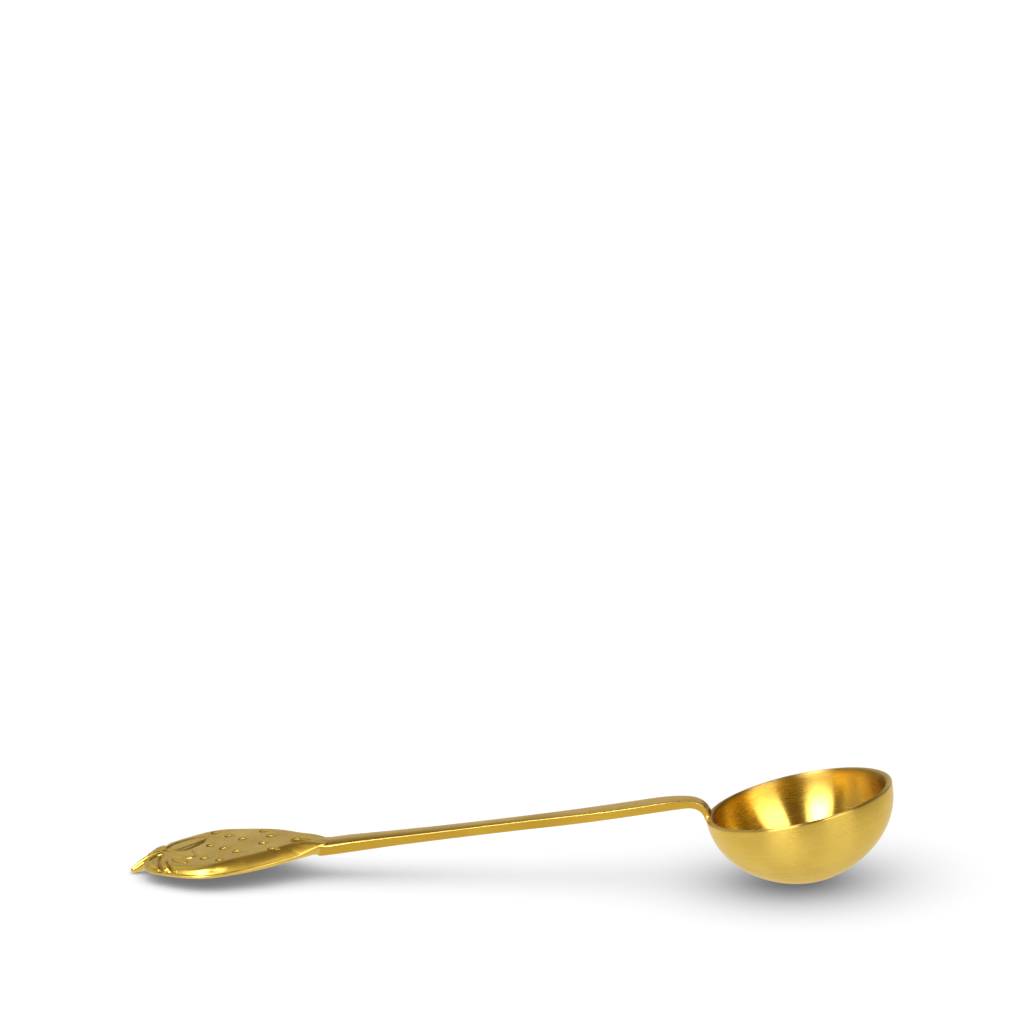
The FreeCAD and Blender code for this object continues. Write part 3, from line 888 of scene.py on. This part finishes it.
def brass(name, grain, tones, roughness, uneven, bump, recess=False, rim=False):
    """Satin brass. grain is a function that gives the coordinates of the brushing.

    The roughness differs by uneven to both sides."""
    material = bpy.data.materials.new(name)
    material.use_nodes = True
    tree = material.node_tree
    shader = tree.nodes["Principled BSDF"]
    shader.inputs["Metallic"].default_value = 1.0
    shader.inputs["Specular Tint"].default_value = (*EDGE_TINT, 1.0)
    clouds = noise(tree, stretched(tree, CLOUD_SCALE), detail=4.0)
    lines = noise(tree, grain(tree), detail=3.0)
    fine = noise(tree, stretched(tree, FINE_SCALE), detail=2.0)
    tone = combine(tree, "ADD", remap(tree, clouds, 0.0, CLOUD_TONE), remap(tree, lines, 0.0, LINE_TONE))
    colour = blend_colours(tree, tone, *tones)
    # paler colour of wear, also a painted highlight
    worn_highlight = combine(tree, "MULTIPLY", attribute(tree, "wear_and_highlight"), remap(tree, clouds, *WORN_HIGHLIGHT_SPAN))
    colour = blend_colours(tree, worn_highlight, colour, WORN_HIGHLIGHT_COLOUR)
    average = combine(tree, "MULTIPLY", combine(tree, "ADD", clouds, lines), 0.5)
    rough = remap(tree, average, roughness - uneven, roughness + uneven)
    rough = combine(tree, "ADD", rough, combine(tree, "MULTIPLY", worn_highlight, WORN_ROUGHER))
    # painted shade along the rim: a darker colour there; the rim is also rougher
    if rim:
        edge = attribute(tree, "rim")
        colour = blend_colours(tree, combine(tree, "MULTIPLY", edge, RIM_SHADE_SHARE), colour, RIM_SHADE_COLOUR)
        rough = combine(tree, "ADD", rough, combine(tree, "MULTIPLY", edge, RIM_ROUGHER))
    # painted shade in the seed pits and leaf grooves: a darker colour; they are also rougher
    if recess:
        pit = attribute(tree, "recess")
        colour = blend_colours(tree, combine(tree, "MULTIPLY", pit, RECESS_SHADE_SHARE), colour, RECESS_SHADE_COLOUR)
        rough = combine(tree, "ADD", rough, combine(tree, "MULTIPLY", pit, RECESS_ROUGHER))
    height = combine(tree, "ADD", lines, combine(tree, "MULTIPLY", fine, FINE_BUMP))
    relief = add_node(tree, "ShaderNodeBump", Strength=bump, Distance=BUMP_HEIGHT * MM)
    tree.links.new(height, relief.inputs["Height"])
    tree.links.new(relief.outputs["Normal"], shader.inputs["Normal"])
    tree.links.new(colour, shader.inputs["Base Color"])
    tree.links.new(rough, shader.inputs["Roughness"])
    return material


def ring_grain(tree):
    return turned_grain(tree, *RING_SCALE)


def long_grain(tree):
    return stretched(tree, LONG_SCALE)


def pressed_grain(tree):
    return stretched(tree, PRESSED_SCALE)


def make_bowl_brass():
    """Spun brass: fine brushing round the bowl, which spreads the highlights across it."""
    material = brass("bowl_brass", ring_grain, BRASS, roughness=0.27, uneven=0.025, bump=0.022, rim=True)
    tree = material.node_tree
    shader = tree.nodes["Principled BSDF"]
    shader.inputs["Anisotropic"].default_value = 1.0
    shader.inputs["Anisotropic Rotation"].default_value = BRUSH_TURN
    tangent = tree.nodes.new("ShaderNodeTangent")
    tangent.direction_type = "UV_MAP"
    tangent.uv_map = "brushing"
    tree.links.new(tangent.outputs["Tangent"], shader.inputs["Tangent"])
    return material


def make_strip_brass():
    return brass("handle_brass", long_grain, STRIP_SHADED_BRASS, roughness=0.28, uneven=0.07, bump=0.07)


def make_plate_brass():
    return brass("plate_brass", pressed_grain, BRASS, roughness=0.33, uneven=0.07, bump=0.03, recess=True)


def make_braze_metal():
    return brass("braze_metal", pressed_grain, BRAZE, roughness=0.42, uneven=0.07, bump=0.25)


# ---- stage ----

def camera_axes():
    """Directions to the view's right, to its top and towards the camera."""
    turn, height, roll = CAMERA_TURN, CAMERA_HEIGHT, CAMERA_ROLL
    back = Vector((math.sin(turn) * math.cos(height), -math.cos(turn) * math.cos(height), math.sin(height)))
    level = Vector((math.cos(turn), math.sin(turn), 0))
    steep = back.cross(level)
    right = level * math.cos(roll) + steep * math.sin(roll)
    return right, back.cross(right), back


def make_camera(rim_centre):
    right, up, back = camera_axes()
    aim = rim_centre - right * AIM_LEFT + up * AIM_ABOVE
    data = bpy.data.cameras.new("camera")
    data.sensor_width = SENSOR
    data.lens = SENSOR * CAMERA_DISTANCE / FRAME_WIDTH
    data.clip_end = CAMERA_REACH
    camera = bpy.data.objects.new("camera", data)
    camera.matrix_world = Matrix((right, up, back)).transposed().to_4x4()
    camera.location = aim + back * CAMERA_DISTANCE
    bpy.context.scene.collection.objects.link(camera)
    bpy.context.scene.camera = camera


def make_glow_panel(material, name, low, high, levels, fades):
    """A curved light panel round the spoon, seen only in the brass.

    low and high are its lower and upper edges (height, first turn, last turn) in degrees, where
    turn 0 is in front and 90 at the bowl's free end. levels gives the brightness at some heights,
    and fades the widths of its two soft sides."""
    heights = np.linspace(low[0], high[0], PANEL_ROWS)
    share = np.linspace(0, 1, PANEL_ROWS)
    first = low[1] + (high[1] - low[1]) * share
    last = low[2] + (high[2] - low[2]) * share
    across = np.linspace(0, 1, PANEL_COLUMNS)
    turns = first[:, None] + (last - first)[:, None] * across
    lift = np.radians(heights)[:, None]
    points = PANEL_DISTANCE * np.stack([
        np.sin(np.radians(turns)) * np.cos(lift),
        -np.cos(np.radians(turns)) * np.cos(lift),
        np.sin(lift) + 0 * turns,
    ], axis=-1)
    inside = np.minimum((turns - first[:, None]) / fades[0], (last[:, None] - turns) / fades[1])
    glow = ease(inside) * np.interp(heights, *np.transpose(levels))[:, None]
    corner = (np.arange(PANEL_ROWS - 1)[:, None] * PANEL_COLUMNS + np.arange(PANEL_COLUMNS - 1)).ravel()
    faces = np.column_stack([corner, corner + 1, corner + 1 + PANEL_COLUMNS, corner + PANEL_COLUMNS])
    mesh = bpy.data.meshes.new(name)
    mesh.from_pydata(points.reshape(-1, 3).tolist(), [], faces.tolist())
    brightness = mesh.attributes.new("glow", "FLOAT", "POINT")
    brightness.data.foreach_set("value", glow.astype(np.float32).ravel())
    mesh.materials.append(material)
    panel = bpy.data.objects.new(name, mesh)
    panel.visible_camera = False
    panel.visible_diffuse = False
    panel.visible_shadow = False
    bpy.context.scene.collection.objects.link(panel)


def make_panel_light():
    """Light whose strength is stored at the panel's points."""
    material = bpy.data.materials.new("panel_light")
    material.use_nodes = True
    tree = material.node_tree
    tree.nodes.clear()
    shine = tree.nodes.new("ShaderNodeEmission")
    out = tree.nodes.new("ShaderNodeOutputMaterial")
    tree.links.new(attribute(tree, "glow"), shine.inputs["Strength"])
    tree.links.new(shine.outputs["Emission"], out.inputs["Surface"])
    return material


def make_floor_light():
    """Large lamp overhead that lights only the floor."""
    data = bpy.data.lights.new("floor_lamp", "AREA")
    data.shape = "DISK"
    data.size = LAMP_SIZE
    data.energy = LAMP_POWER
    lamp = bpy.data.objects.new("floor_lamp", data)
    lamp.location = (0, 0, LAMP_HEIGHT)
    lamp.visible_camera = False
    lamp.visible_glossy = False
    bpy.context.scene.collection.objects.link(lamp)


def make_floor():
    """Pale floor. What the brass mirrors is a second, evenly bright sheet just under it."""
    floor = floor_sheet("floor", 0.0, FLOOR_GLOW, FLOOR_COLOUR)
    floor.visible_glossy = False
    shine = floor_sheet("floor_shine", -FLOOR_GAP, FLOOR_SHINE, 0.0)
    shine.visible_camera = False
    shine.visible_diffuse = False
    shine.visible_shadow = False


def floor_sheet(name, height, glow, grey):
    """Square sheet that glows and has a plain grey surface."""
    side = FLOOR_SIZE / 2
    corners = [(-side, -side, height), (side, -side, height), (side, side, height), (-side, side, height)]
    mesh = bpy.data.meshes.new(name)
    mesh.from_pydata(corners, [], [(0, 1, 2, 3)])
    material = bpy.data.materials.new(name)
    material.use_nodes = True
    shader = material.node_tree.nodes["Principled BSDF"]
    shader.inputs["Base Color"].default_value = (grey, grey, grey, 1)
    shader.inputs["Roughness"].default_value = FLOOR_ROUGHNESS
    shader.inputs["Emission Color"].default_value = (1, 1, 1, 1)
    shader.inputs["Emission Strength"].default_value = glow
    shader.inputs["Specular IOR Level"].default_value = 0.0
    mesh.materials.append(material)
    sheet = bpy.data.objects.new(name, mesh)
    bpy.context.scene.collection.objects.link(sheet)
    return sheet


def make_world():
    """Dim warm room, seen only in the brass."""
    world = bpy.data.worlds.new("studio")
    world.use_nodes = True
    background = world.node_tree.nodes["Background"]
    background.inputs["Color"].default_value = (*WORLD_COLOUR, 1)
    background.inputs["Strength"].default_value = WORLD_LIGHT
    world.cycles_visibility.diffuse = False
    bpy.context.scene.world = world


def main():
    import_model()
    reach, rim_height = bowl_reach()
    rim_centre = Vector((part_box("bowl")[1].x - reach * MM, 0, rim_height * MM))
    origin = Vector((rim_centre.x, 0, 0))

    make_bowl(rim_centre, make_bowl_brass())
    make_handle(origin, make_strip_brass())
    plate_brass = make_plate_brass()
    make_plate(origin, plate_brass)
    make_stalk(origin, plate_brass)
    braze_metal = make_braze_metal()
    make_neck_bead(origin, braze_metal)
    make_plate_fillet(origin, braze_metal)

    make_floor()
    make_world()
    panel_light = make_panel_light()
    for panel in PANELS:
        make_glow_panel(panel_light, *panel)
    make_floor_light()
    make_camera(rim_centre)
    bpy.context.scene.view_settings.view_transform = "Standard"
    bpy.context.scene.cycles.caustics_reflective = False


main()
